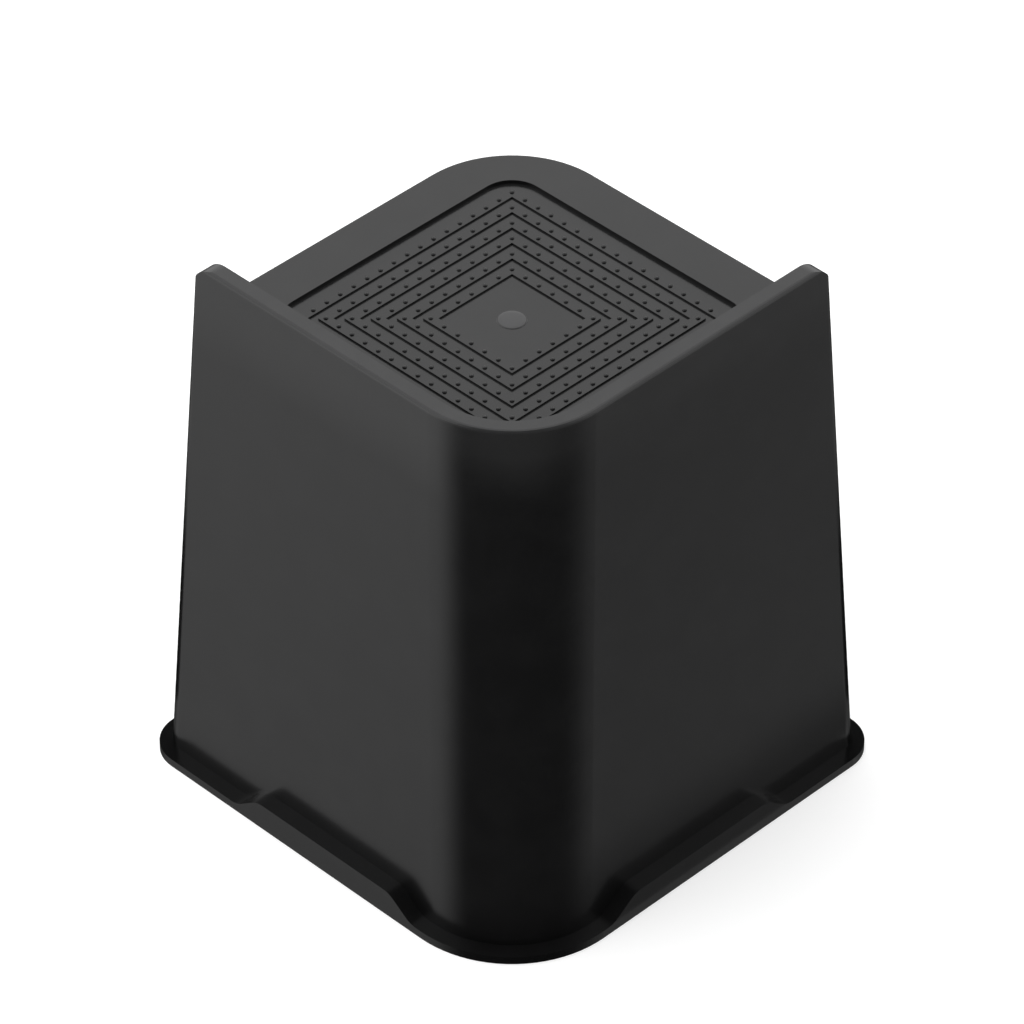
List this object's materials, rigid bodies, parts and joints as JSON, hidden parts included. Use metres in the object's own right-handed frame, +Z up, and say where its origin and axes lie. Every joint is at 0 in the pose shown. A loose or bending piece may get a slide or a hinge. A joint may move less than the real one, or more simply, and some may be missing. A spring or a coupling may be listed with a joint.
{
  "type": "bed riser",
  "caption": "Tall hollow bed riser: a tapered square block on a narrow stepped flange, with a guard lip round two sides of its seat and a sunk tread of square rings.",
  "frame": {"origin": "centre of the square footprint, on the floor", "axes": "+Z up, through the seat; the guard lip runs along the -X and -Y sides and round their common corner"},
  "size_m": [0.1324, 0.1324, 0.1524],
  "materials": {
    "shell_plastic": "glossy moulded black"
  },
  "bodies": {
    "root": {"riser_shell": "shell_plastic"}
  },
  "joints": []
}
